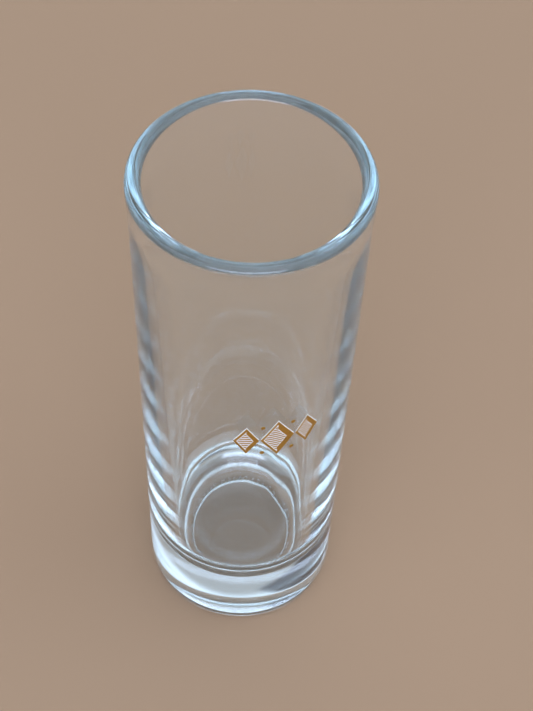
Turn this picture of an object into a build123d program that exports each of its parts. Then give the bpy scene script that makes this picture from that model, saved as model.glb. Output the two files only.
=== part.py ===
from build123d import *
import math
import os

# Tall thick-bottomed shot glass with a small gold ornament fired onto the front of its wall.
# Millimetres. The glass stands on Z = 0 with its axis on Z, and the ornament faces -Y.

# ---------------------------------------------------------------- driving dimensions
HEIGHT = 104.0           # table to the top of the lip
LIP_RADIUS = 18.75       # widest point, on the rounded lip
LIP_THICKNESS = 2.5      # the lip is melted round, so this is also its diameter
LIP_DROP = 9.0           # how far below the rim the lip has faded into the wall
WALL_TOP_RADIUS = 18.45  # outside of the wall just under the lip
BASE_RADIUS = 17.25      # outside of the wall just above the heel
HEEL_RADIUS = 2.8        # rounding between wall and underside

FLOOR_HEIGHT = 10.2      # thickness of the solid base at the axis
FLOOR_FLAT = 5.0         # radius of the level middle of the floor
BOWL_TOP = 19.0          # height where the rounded floor has become wall
BOWL_RADIUS = 13.2       # inside radius at that height
BOWL_REACH = 0.56        # fullness of the rounded floor, 0.55 is a quarter ellipse

RING_RADIUS = 13.8       # inner edge of the ring that the glass stands on
RING_BEVEL = 0.4         # run of the slope from the ring up into the hollow
HOLLOW_EDGE = 0.35       # rise of that slope
HOLLOW_DOME = 0.5        # further rise from there to the axis

UNDERLAY_THICKNESS = 0.03  # white paint, fired first
PRINT_THICKNESS = 0.06   # white and gold paint together
UNDERLAY_RISE = 0.3      # the white is printed this much too high, so it shows over each lozenge
PRINT_HEIGHT = 61.6      # height of the ornament's centre
PRINT_LINE = 0.4         # width of an outline
PRINT_GAP = 0.14         # clear glass between two areas of paint
MIDDLE_LOZENGE = (2.8, 4.6)  # half width, half height
SIDE_LOZENGE = (2.0, 3.5)
SIDE_CENTRE = 5.05       # distance of a side lozenge's centre from the ornament's centre
SHADE_SHARE = 0.38       # how far in the solid band reaches, as a share of the half width
HATCH_LINE = 0.3
HATCH_PITCH = 0.58
DOT_RADIUS = 0.36
DOT_PLACES = ((-2.5, 3.5), (2.5, 3.5), (-2.5, -3.5), (2.5, -3.5))

# ---------------------------------------------------------------- derived
LIP_ROUND = LIP_THICKNESS / 2
MOUTH_RADIUS = LIP_RADIUS - LIP_THICKNESS
BORE_SLOPE = (MOUTH_RADIUS - BOWL_RADIUS) / (HEIGHT - LIP_ROUND - BOWL_TOP)
WALL_SLOPE = (WALL_TOP_RADIUS - BASE_RADIUS) / (HEIGHT - LIP_DROP - HEEL_RADIUS)


def wall_radius(z):
    """Outside radius of the tapered wall at height z."""
    return BASE_RADIUS + WALL_SLOPE * (z - HEEL_RADIUS)


def glass_body():
    """One pressed piece: ring foot, thick base, tapered wall, round lip and rounded bore."""
    hollow_rim = (RING_RADIUS - RING_BEVEL, HOLLOW_EDGE)
    ring_in = (RING_RADIUS, 0)
    ring_out = (BASE_RADIUS - HEEL_RADIUS, 0)
    heel_top = (BASE_RADIUS, HEEL_RADIUS)
    heel_mid = (
        BASE_RADIUS - HEEL_RADIUS * (1 - math.sin(math.pi / 4)),
        HEEL_RADIUS * (1 - math.cos(math.pi / 4)),
    )
    under_lip = (WALL_TOP_RADIUS, HEIGHT - LIP_DROP)
    lip_out = (LIP_RADIUS, HEIGHT - LIP_ROUND)
    lip_top = (LIP_RADIUS - LIP_ROUND, HEIGHT)
    lip_in = (MOUTH_RADIUS, HEIGHT - LIP_ROUND)
    bowl_top = (BOWL_RADIUS, BOWL_TOP)
    floor_edge = (FLOOR_FLAT, FLOOR_HEIGHT)
    swell = (LIP_DROP - LIP_ROUND) * 0.45
    drop = BOWL_REACH * (BOWL_TOP - FLOOR_HEIGHT)
    with BuildPart() as body:
        with BuildSketch(Plane.XZ):
            with BuildLine():
                Bezier(
                    (0, HOLLOW_EDGE + HOLLOW_DOME),
                    (RING_RADIUS / 2, HOLLOW_EDGE + HOLLOW_DOME),
                    hollow_rim,
                )
                Line(hollow_rim, ring_in)
                Line(ring_in, ring_out)
                ThreePointArc(ring_out, heel_mid, heel_top)
                Line(heel_top, under_lip)
                Bezier(
                    under_lip,
                    (WALL_TOP_RADIUS + WALL_SLOPE * swell, under_lip[1] + swell),
                    (LIP_RADIUS, lip_out[1] - swell),
                    lip_out,
                )
                ThreePointArc(lip_out, lip_top, lip_in)
                Line(lip_in, bowl_top)
                Bezier(
                    bowl_top,
                    (BOWL_RADIUS - BORE_SLOPE * drop, BOWL_TOP - drop),
                    (FLOOR_FLAT + BOWL_REACH * (BOWL_RADIUS - FLOOR_FLAT), FLOOR_HEIGHT),
                    floor_edge,
                )
                Line(floor_edge, (0, FLOOR_HEIGHT))
                Line((0, FLOOR_HEIGHT), (0, HOLLOW_EDGE + HOLLOW_DOME))
            make_face()
        revolve(axis=Axis.Z)
    return body.part


def paint_skin(thickness):
    """The thin shell over the front of the wall that a layer of paint is cut from."""
    low = PRINT_HEIGHT - 8
    high = PRINT_HEIGHT + 8
    with BuildPart() as skin:
        with BuildSketch(Plane.XZ):
            with BuildLine():
                Polyline(
                    (wall_radius(low), low),
                    (wall_radius(low) + thickness, low),
                    (wall_radius(high) + thickness, high),
                    (wall_radius(high), high),
                    close=True,
                )
            make_face()
        revolve(axis=Axis.Z)
    return skin.part


def on_wall(flat, skin):
    """Lay a flat shape, drawn about the ornament's centre, onto the front of the wall."""
    front = Plane(origin=(0, -LIP_RADIUS - 1, PRINT_HEIGHT), x_dir=(1, 0, 0), z_dir=(0, -1, 0))
    block = extrude(front * flat, amount=-LIP_RADIUS)
    return block & skin


def lozenge(size, inset=0):
    """An upright lozenge about the origin, with its four sides moved in by inset."""
    half_width, half_height = size
    keep = 1 - inset * math.hypot(half_width, half_height) / (half_width * half_height)
    wide = keep * half_width
    high = keep * half_height
    return make_face(Polyline((wide, 0), (0, high), (-wide, 0), (0, -high), close=True))


def half_plane(size, side):
    """Everything left (side -1) or right (side 1) of the middle, large enough for a lozenge."""
    return Pos(side * size[0], 0) * Rectangle(2 * size[0], 3 * size[1])


def shade_inset(size):
    """Width of the solid band inside the right-hand sides of a lozenge."""
    return SHADE_SHARE * size[0]


def lozenge_frame(size):
    """Lozenge outline, with a solid band inside its right-hand sides."""
    outline = lozenge(size) - lozenge(size, PRINT_LINE)
    band = lozenge(size) - lozenge(size, shade_inset(size))
    return outline + (band & half_plane(size, 1))


def lozenge_hatching(size):
    """Level lines that fill a lozenge between its outline and its solid band."""
    inside = lozenge(size, shade_inset(size) + PRINT_GAP)
    inside += lozenge(size, PRINT_LINE + PRINT_GAP) & half_plane(size, -1)
    count = int(0.68 * size[1] / HATCH_PITCH)
    rows = Sketch()
    for i in range(-count, count + 1):
        rows += Pos(0, i * HATCH_PITCH) * Rectangle(2 * size[0], HATCH_LINE)
    return rows & inside


def dots():
    """Round dots around the ornament."""
    spots = Sketch()
    for x, z in DOT_PLACES:
        spots += Pos(x, z) * Circle(DOT_RADIUS)
    return spots


def print_group(name, place, size, nodes):
    """One lozenge of the ornament: white underlay, gold frame and gold hatching over the white."""
    white = on_wall(place * Pos(0, UNDERLAY_RISE) * lozenge(size), paint_skin(UNDERLAY_THICKNESS))
    skin = paint_skin(PRINT_THICKNESS)
    nodes[f"print_{name}_underlay"] = white
    nodes[f"print_{name}_lozenge"] = on_wall(place * lozenge_frame(size), skin) - white
    nodes[f"print_{name}_hatching"] = on_wall(place * lozenge_hatching(size), skin) - white


def build():
    """Every node of the glass by name."""
    nodes = {"glass_body": glass_body()}
    print_group("middle", Pos(0, 0), MIDDLE_LOZENGE, nodes)
    print_group("left", Pos(-SIDE_CENTRE, 0), SIDE_LOZENGE, nodes)
    print_group("right", Pos(SIDE_CENTRE, 0), SIDE_LOZENGE, nodes)
    nodes["print_dots"] = on_wall(dots(), paint_skin(PRINT_THICKNESS))
    return nodes


os.makedirs("parts", exist_ok=True)
for name, solid in build().items():
    export_step(solid, f"parts/{name}.step")
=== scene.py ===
import math

import bpy
from mathutils import Matrix, Vector, noise


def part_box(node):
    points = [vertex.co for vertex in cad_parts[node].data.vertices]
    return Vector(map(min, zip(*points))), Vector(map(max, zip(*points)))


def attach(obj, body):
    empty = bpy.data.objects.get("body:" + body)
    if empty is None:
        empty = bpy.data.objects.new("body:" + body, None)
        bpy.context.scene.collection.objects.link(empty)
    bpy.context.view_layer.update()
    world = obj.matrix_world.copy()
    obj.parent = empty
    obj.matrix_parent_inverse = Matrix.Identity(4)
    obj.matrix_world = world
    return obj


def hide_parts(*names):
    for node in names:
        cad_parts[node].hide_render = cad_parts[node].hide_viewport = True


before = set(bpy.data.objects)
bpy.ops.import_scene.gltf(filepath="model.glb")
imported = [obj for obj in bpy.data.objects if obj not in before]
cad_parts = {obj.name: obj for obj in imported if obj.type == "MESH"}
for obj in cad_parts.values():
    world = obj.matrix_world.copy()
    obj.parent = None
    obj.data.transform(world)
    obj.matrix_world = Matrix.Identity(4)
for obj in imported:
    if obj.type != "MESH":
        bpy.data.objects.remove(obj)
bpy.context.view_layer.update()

# Tall clear shot glass with a gold ornament, on a pale floor under soft light. Metres.
MM = 0.001

# ---------------------------------------------------------------- sizes of the glass, as in the CAD
glass_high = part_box("glass_body")[1]
HEIGHT = glass_high[2]
LIP_RADIUS = glass_high[0]
LIP_THICKNESS = 2.5 * MM
LIP_DROP = 9.0 * MM
WALL_TOP_RADIUS = 18.45 * MM
BASE_RADIUS = 17.25 * MM
HEEL_RADIUS = 2.8 * MM
FLOOR_HEIGHT = 10.2 * MM
FLOOR_FLAT = 5.0 * MM
BOWL_TOP = 19.0 * MM
BOWL_RADIUS = 13.2 * MM
BOWL_REACH = 0.56
RING_RADIUS = 13.8 * MM
RING_BEVEL = 0.4 * MM
HOLLOW_EDGE = 0.35 * MM
HOLLOW_DOME = 0.5 * MM

LIP_ROUND = LIP_THICKNESS / 2
MOUTH_RADIUS = LIP_RADIUS - LIP_THICKNESS
FLARE_PULL = 0.45  # handle length of the lip's flare, as a share of its height

# ---------------------------------------------------------------- fineness of the mesh
SEGMENTS = 224  # round the axis
HOLLOW_STEPS = 24
RING_STEPS = 3
HEEL_STEPS = 18
WALL_STEPS = 60
FLARE_STEPS = 10
LIP_STEPS = 12  # each half of the round lip
BORE_STEPS = 70
BOWL_STEPS = 56
FLOOR_STEPS = 4

# ---------------------------------------------------------------- upright ripple of the bore
RIPPLE_DEPTH = 0.022 * MM
RIPPLE_SPREAD = 6.0  # radius of its circle through the noise, so larger means more waves
RIPPLE_LENGTH = 26 * MM
RIPPLE_LIP_FADE = 12 * MM
RIPPLE_BOWL_FADE = 10 * MM


# ---------------------------------------------------------------- outline of the glass
def bezier(points, steps):
    """Points along a Bezier curve of any degree."""
    line = []
    for i in range(steps + 1):
        t = i / steps
        level = [Vector(p) for p in points]
        while len(level) > 1:
            level = [a.lerp(b, t) for a, b in zip(level, level[1:])]
        line.append(tuple(level[0]))
    return line


def straight(start, end, steps):
    """Evenly spaced points along a straight line."""
    return bezier((start, end), steps)


def arc(centre, radius, start_deg, end_deg, steps):
    """Points along a circle's arc, angles counted from outward towards up."""
    line = []
    for i in range(steps + 1):
        a = math.radians(start_deg + (end_deg - start_deg) * i / steps)
        line.append((centre[0] + radius * math.cos(a), centre[1] + radius * math.sin(a)))
    return line


def outer_outline():
    """(radius, height) from the middle of the underside, up the outside, to the top of the lip."""
    slope = (WALL_TOP_RADIUS - BASE_RADIUS) / (HEIGHT - LIP_DROP - HEEL_RADIUS)
    swell = (LIP_DROP - LIP_ROUND) * FLARE_PULL
    dome = HOLLOW_EDGE + HOLLOW_DOME
    hollow_rim = (RING_RADIUS - RING_BEVEL, HOLLOW_EDGE)
    ring_in = (RING_RADIUS, 0)
    ring_out = (BASE_RADIUS - HEEL_RADIUS, 0)
    heel_centre = (BASE_RADIUS - HEEL_RADIUS, HEEL_RADIUS)
    heel_top = (BASE_RADIUS, HEEL_RADIUS)
    under_lip = (WALL_TOP_RADIUS, HEIGHT - LIP_DROP)
    lip_out = (LIP_RADIUS, HEIGHT - LIP_ROUND)
    line = bezier(((0, dome), (RING_RADIUS / 2, dome), hollow_rim), HOLLOW_STEPS)
    line += straight(hollow_rim, ring_in, RING_STEPS)[1:]
    line += straight(ring_in, ring_out, RING_STEPS)[1:]
    line += arc(heel_centre, HEEL_RADIUS, -90, 0, HEEL_STEPS)[1:]
    line += straight(heel_top, under_lip, WALL_STEPS)[1:]
    line += bezier(
        (
            under_lip,
            (WALL_TOP_RADIUS + slope * swell, under_lip[1] + swell),
            (LIP_RADIUS, lip_out[1] - swell),
            lip_out,
        ),
        FLARE_STEPS,
    )[1:]
    line += arc((LIP_RADIUS - LIP_ROUND, HEIGHT - LIP_ROUND), LIP_ROUND, 0, 90, LIP_STEPS)[1:]
    return line


def inner_outline():
    """(radius, height) from the top of the lip, down the bore, to the middle of the floor."""
    slope = (MOUTH_RADIUS - BOWL_RADIUS) / (HEIGHT - LIP_ROUND - BOWL_TOP)
    drop = BOWL_REACH * (BOWL_TOP - FLOOR_HEIGHT)
    lip_in = (MOUTH_RADIUS, HEIGHT - LIP_ROUND)
    bowl_top = (BOWL_RADIUS, BOWL_TOP)
    floor_edge = (FLOOR_FLAT, FLOOR_HEIGHT)
    line = arc((LIP_RADIUS - LIP_ROUND, HEIGHT - LIP_ROUND), LIP_ROUND, 90, 180, LIP_STEPS)[1:]
    line += straight(lip_in, bowl_top, BORE_STEPS)[1:]
    line += bezier(
        (
            bowl_top,
            (BOWL_RADIUS - slope * drop, BOWL_TOP - drop),
            (FLOOR_FLAT + BOWL_REACH * (BOWL_RADIUS - FLOOR_FLAT), FLOOR_HEIGHT),
            floor_edge,
        ),
        BOWL_STEPS,
    )[1:]
    line += straight(floor_edge, (0, FLOOR_HEIGHT), FLOOR_STEPS)[1:]
    return line


def bore_wave(height, angle):
    """Slight upright ripple that the plunger leaves on the wall, none at the lip and in the bowl."""
    below_lip = min(1, (HEIGHT - height) / RIPPLE_LIP_FADE)
    above_bowl = min(1, max(0, (height - BOWL_TOP) / RIPPLE_BOWL_FADE))
    around = (RIPPLE_SPREAD * math.cos(angle), RIPPLE_SPREAD * math.sin(angle))
    place = Vector((*around, height / RIPPLE_LENGTH))
    return RIPPLE_DEPTH * below_lip * above_bowl * noise.noise(place)


def turned(name, outer, inner):
    """Closed mesh of a turned body whose outline starts and ends on the axis."""
    outline = outer + inner
    rings = outline[1:-1]
    first_inner = len(outer) - 1
    verts = [(0, 0, outline[0][1])]
    for j, (radius, height) in enumerate(rings):
        for k in range(SEGMENTS):
            angle = 2 * math.pi * k / SEGMENTS
            r = radius + (bore_wave(height, angle) if j >= first_inner else 0)
            verts.append((r * math.cos(angle), r * math.sin(angle), height))
    verts.append((0, 0, outline[-1][1]))
    faces = []
    last = 1 + (len(rings) - 1) * SEGMENTS
    for k in range(SEGMENTS):
        n = (k + 1) % SEGMENTS
        faces.append((0, 1 + n, 1 + k))
        for j in range(len(rings) - 1):
            a = 1 + j * SEGMENTS
            b = a + SEGMENTS
            faces.append((a + k, a + n, b + n, b + k))
        faces.append((last + k, last + n, len(verts) - 1))
    mesh = bpy.data.meshes.new(name)
    mesh.from_pydata(verts, [], faces)
    mesh.update()
    for face in mesh.polygons:
        face.use_smooth = True
    piece = bpy.data.objects.new(name, mesh)
    bpy.context.scene.collection.objects.link(piece)
    return piece


# ---------------------------------------------------------------- materials
def new_material(name):
    """A new material with its node tree and its shader."""
    material = bpy.data.materials.new(name)
    material.use_nodes = True
    tree = material.node_tree
    return material, tree, tree.nodes["Principled BSDF"]


def add(tree, kind, **inputs):
    """A new node with some of its inputs set."""
    node = tree.nodes.new(kind)
    for key, value in inputs.items():
        node.inputs[key].default_value = value
    return node


def noise_at(tree, place, scale, detail=3.0):
    """Noise whose coarsest features are about 1 / scale metres across."""
    grain = add(tree, "ShaderNodeTexNoise", Scale=scale, Detail=detail, Roughness=0.6)
    tree.links.new(place, grain.inputs["Vector"])
    return grain.outputs["Fac"]


def spread(tree, value, start, end, low, high):
    """Value mapped from start..end to low..high and held there."""
    node = tree.nodes.new("ShaderNodeMapRange")
    tree.links.new(value, node.inputs["Value"])
    for key, number in (("From Min", start), ("From Max", end), ("To Min", low), ("To Max", high)):
        node.inputs[key].default_value = number
    return node.outputs["Result"]


# sockets of a Mix node that mixes colours
MIX_SHARE = 0
MIX_FIRST = 6
MIX_SECOND = 7
MIX_RESULT = 2


def blend(tree, share, first, second):
    """Two parts mixed by share. A part is a plain colour, or an output to link."""
    node = tree.nodes.new("ShaderNodeMix")
    node.data_type = "RGBA"
    tree.links.new(share, node.inputs[MIX_SHARE])
    for slot, part in ((MIX_FIRST, first), (MIX_SECOND, second)):
        if isinstance(part, tuple):
            node.inputs[slot].default_value = part
        else:
            tree.links.new(part, node.inputs[slot])
    return node.outputs[MIX_RESULT]


GLASS_TINT = (0.955, 0.985, 0.995, 1)
GLASS_TINT_PALE = (0.98, 0.995, 1.0, 1)
# features per metre
SMUDGE_SCALE = 70.0
STIPPLE_SCALE = 1400.0
SCUFF_SCALE = 900.0
# least and most
WALL_ROUGHNESS = (0.012, 0.035)
HOLLOW_ROUGHNESS = (0.035, 0.07)
RING_ROUGHNESS = (0.06, 0.4)
# heights over which the finish of the hollow, and that of the ring, gives way to the one above
HOLLOW_ENDS = (0.9 * MM, 1.2 * MM)
RING_ENDS = (0.05 * MM, 0.25 * MM)


def glass_material():
    """Clear glass with faint smudges on the wall, a stippled hollow and a scuffed ring underneath."""
    material, tree, shader = new_material("clear_pressed_glass")
    link = tree.links.new
    place = tree.nodes.new("ShaderNodeTexCoord").outputs["Object"]
    split = tree.nodes.new("ShaderNodeSeparateXYZ")
    link(place, split.inputs[0])
    height = split.outputs["Z"]

    smudges = noise_at(tree, place, SMUDGE_SCALE)
    tint = blend(tree, smudges, GLASS_TINT, GLASS_TINT_PALE)
    link(tint, shader.inputs["Base Color"])

    wall = spread(tree, smudges, 0.35, 0.75, *WALL_ROUGHNESS)
    stipple = spread(tree, noise_at(tree, place, STIPPLE_SCALE), 0.3, 0.7, *HOLLOW_ROUGHNESS)
    scuffs = spread(tree, noise_at(tree, place, SCUFF_SCALE, 5.0), 0.45, 0.62, *RING_ROUGHNESS)
    in_hollow = spread(tree, height, *HOLLOW_ENDS, 1.0, 0.0)
    on_ring = spread(tree, height, *RING_ENDS, 1.0, 0.0)
    rough = blend(tree, in_hollow, wall, stipple)
    rough = blend(tree, on_ring, rough, scuffs)
    link(rough, shader.inputs["Roughness"])

    shader.inputs["Transmission Weight"].default_value = 0.985
    shader.inputs["IOR"].default_value = 1.52
    volume = tree.nodes.new("ShaderNodeVolumeAbsorption")
    volume.inputs["Color"].default_value = (0.6, 0.87, 0.97, 1)
    volume.inputs["Density"].default_value = 8.0
    link(volume.outputs["Volume"], tree.nodes["Material Output"].inputs["Volume"])
    return material


GRAIN_SCALE = 2600.0
WEAR_SCALE = 1100.0
GRAIN_SHADE = 0.78  # brightness of the grain's dark side
WEAR_SHARE = 0.7  # how far a worn spot takes on its own colour
GRAIN_BUMP = 0.02 * MM


def paint_material(name, colour, worn, metallic, rough):
    """Fired paint with a grain, and thin worn spots of a second colour."""
    material, tree, shader = new_material(name)
    link = tree.links.new
    place = tree.nodes.new("ShaderNodeTexCoord").outputs["Object"]
    grain = noise_at(tree, place, GRAIN_SCALE, 4.0)
    dark = [c * GRAIN_SHADE for c in colour]
    tone = blend(tree, spread(tree, grain, 0.3, 0.7, 0.0, 1.0), (*dark, 1), (*colour, 1))
    wear = spread(tree, noise_at(tree, place, WEAR_SCALE, 6.0), 0.6, 0.68, 0.0, WEAR_SHARE)
    link(blend(tree, wear, tone, (*worn, 1)), shader.inputs["Base Color"])
    link(spread(tree, grain, 0.2, 0.8, rough - 0.08, rough + 0.1), shader.inputs["Roughness"])
    shader.inputs["Metallic"].default_value = metallic
    bump = add(tree, "ShaderNodeBump", Strength=0.25, Distance=GRAIN_BUMP)
    link(grain, bump.inputs["Height"])
    link(bump.outputs["Normal"], shader.inputs["Normal"])
    return material


# ---------------------------------------------------------------- pieces
glass = turned("glass_body_turned", outer_outline(), inner_outline())
glass.data.materials.append(glass_material())
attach(glass, "root")
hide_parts("glass_body")

gold = paint_material(
    "gold_fired_paint",
    colour=(0.62, 0.34, 0.06),
    worn=(0.32, 0.17, 0.04),
    metallic=0.85,
    rough=0.38,
)
white = paint_material(
    "white_fired_underlay",
    colour=(0.86, 0.85, 0.82),
    worn=(0.62, 0.6, 0.56),
    metallic=0.0,
    rough=0.45,
)
for name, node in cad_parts.items():
    if name.startswith("print_"):
        node.data.materials.clear()
        node.data.materials.append(white if name.endswith("underlay") else gold)

# ---------------------------------------------------------------- stage
FLOOR_HALF = 3.0
FLOOR_GAP = 0.05 * MM  # keeps the floor clear of the ring that stands on it
FLOOR_COLOUR = (0.38, 0.241, 0.152, 1)


def plane(name, half, z):
    """Level square about the axis."""
    mesh = bpy.data.meshes.new(name)
    corners = [(-half, -half, z), (half, -half, z), (half, half, z), (-half, half, z)]
    mesh.from_pydata(corners, [], [(0, 1, 2, 3)])
    piece = bpy.data.objects.new(name, mesh)
    bpy.context.scene.collection.objects.link(piece)
    return piece


floor = plane("floor", FLOOR_HALF, -FLOOR_GAP)
floor_paper, _, floor_shader = new_material("floor_paper")
floor_shader.inputs["Base Color"].default_value = FLOOR_COLOUR
floor_shader.inputs["Roughness"].default_value = 0.95
floor_shader.inputs["Specular IOR Level"].default_value = 0.1
floor.data.materials.append(floor_paper)

# The studio is a dome of soft light. Its bearings are counted clockwise from the way the camera
# looks, and its elevations from level. HEADING is the way it looks, anticlockwise from +Y.
HEADING = math.radians(-19.0)
# sine of the elevation, colour
DOME = (
    (0.0, (0.60, 0.70, 0.80)),
    (0.25, (0.88, 1.03, 1.18)),
    (0.6, (1.15, 1.36, 1.60)),
    (1.0, (1.35, 1.55, 1.80)),
)
# bearing, elevation, half width, half height and softness in degrees, colour
PATCHES = (
    (-75, 42, 34, 22, 8, (1.35, 1.70, 2.10)),
    (95, 35, 26, 20, 8, (1.20, 1.50, 1.85)),
    (0, 56, 40, 14, 6, (0.42, 0.43, 0.44)),
    (180, 24, 28, 10, 4, (5.0, 5.6, 7.0)),
    (-76, 53, 24, 20, 2, (0.0, 0.0, 0.01)),
)


def heading_vector(bearing, elevation):
    """Unit vector for a bearing and an elevation in radians."""
    turn = bearing - HEADING
    flat = math.cos(elevation)
    return Vector((flat * math.sin(turn), flat * math.cos(turn), math.sin(elevation)))


def dot_with(tree, direction, axis):
    """How far the direction goes along a fixed axis."""
    dot = tree.nodes.new("ShaderNodeVectorMath")
    dot.operation = "DOT_PRODUCT"
    tree.links.new(direction, dot.inputs[0])
    dot.inputs[1].default_value = axis
    return dot.outputs["Value"]


def band(tree, value, half, soft):
    """1 inside plus or minus half, fading to 0 over soft."""
    size = tree.nodes.new("ShaderNodeMath")
    size.operation = "ABSOLUTE"
    tree.links.new(value, size.inputs[0])
    fade = tree.nodes.new("ShaderNodeMapRange")
    fade.interpolation_type = "SMOOTHSTEP"
    tree.links.new(size.outputs[0], fade.inputs["Value"])
    fade.inputs["From Min"].default_value = half - soft
    fade.inputs["From Max"].default_value = half + soft
    fade.inputs["To Min"].default_value = 1.0
    fade.inputs["To Max"].default_value = 0.0
    return fade.outputs["Result"]


def times(tree, a, b):
    """Product of two outputs."""
    product = tree.nodes.new("ShaderNodeMath")
    product.operation = "MULTIPLY"
    tree.links.new(a, product.inputs[0])
    tree.links.new(b, product.inputs[1])
    return product.outputs[0]


def patch(tree, direction, under, bearing, elevation, width, height, soft, colour):
    """Lay a soft-edged patch of light or dark over the dome."""
    b, e = math.radians(bearing), math.radians(elevation)
    centre = heading_vector(b, e)
    side = heading_vector(b + math.pi / 2, 0)
    over = side.cross(centre)
    across = dot_with(tree, direction, side)
    along = dot_with(tree, direction, over)
    ahead = dot_with(tree, direction, centre)
    soft = math.radians(soft)
    mask = times(
        tree,
        band(tree, across, math.sin(math.radians(width)), soft),
        band(tree, along, math.sin(math.radians(height)), soft),
    )
    front = tree.nodes.new("ShaderNodeMath")
    front.operation = "GREATER_THAN"
    tree.links.new(ahead, front.inputs[0])
    front.inputs[1].default_value = 0.0
    mask = times(tree, mask, front.outputs[0])
    return blend(tree, mask, under, (*colour, 1))


def studio_dome():
    """World that lights the scene: the dome's gradient under its patches."""
    world = bpy.data.worlds.new("soft_studio")
    bpy.context.scene.world = world
    world.use_nodes = True
    tree = world.node_tree
    place = tree.nodes.new("ShaderNodeTexCoord")
    direction = place.outputs["Generated"]
    split = tree.nodes.new("ShaderNodeSeparateXYZ")
    tree.links.new(direction, split.inputs[0])
    ramp = tree.nodes.new("ShaderNodeValToRGB")
    tree.links.new(split.outputs["Z"], ramp.inputs[0])
    stops = ramp.color_ramp.elements
    while len(stops) < len(DOME):
        stops.new(0.5)
    for stop, (position, colour) in zip(stops, DOME):
        stop.position = position
        stop.color = (*colour, 1)
    light = ramp.outputs[0]
    for numbers in PATCHES:
        light = patch(tree, direction, light, *numbers)
    tree.links.new(light, tree.nodes["Background"].inputs["Color"])


studio_dome()
bpy.context.scene.view_settings.view_transform = "Standard"
# Light runs a long way down inside the wall before it leaves, and each total reflection on the
# way counts as a glossy bounce.
GLASS_BOUNCES = 96
FLOOR_BOUNCES = 24
light_paths = bpy.context.scene.cycles
light_paths.max_bounces = GLASS_BOUNCES
light_paths.transmission_bounces = GLASS_BOUNCES
light_paths.glossy_bounces = GLASS_BOUNCES
light_paths.diffuse_bounces = FLOOR_BOUNCES

# ---------------------------------------------------------------- camera
CAMERA_SIDE = math.radians(-17.8)  # where it stands round the axis, anticlockwise from -Y
CAMERA_OUT = 163.6 * MM
CAMERA_UP = 273.0 * MM
TILT = math.radians(52.35)
ROLL = math.radians(2.82)
LENS = 81.0
SENSOR = 36.0
NEAR = 0.01

forward = Vector(
    (
        -math.sin(HEADING) * math.cos(TILT),
        math.cos(HEADING) * math.cos(TILT),
        -math.sin(TILT),
    )
)
level = Vector((math.cos(HEADING), math.sin(HEADING), 0))
upward = level.cross(forward)
across = math.cos(ROLL) * level + math.sin(ROLL) * upward
above = -math.sin(ROLL) * level + math.cos(ROLL) * upward
camera = bpy.data.objects.new("camera", bpy.data.cameras.new("camera"))
bpy.context.scene.collection.objects.link(camera)
pose = Matrix((across, above, -forward)).transposed().to_4x4()
pose.translation = Vector(
    (
        CAMERA_OUT * math.sin(CAMERA_SIDE),
        -CAMERA_OUT * math.cos(CAMERA_SIDE),
        CAMERA_UP,
    )
)
camera.matrix_world = pose
camera.data.lens = LENS
camera.data.sensor_width = SENSOR
camera.data.clip_start = NEAR
bpy.context.scene.camera = camera
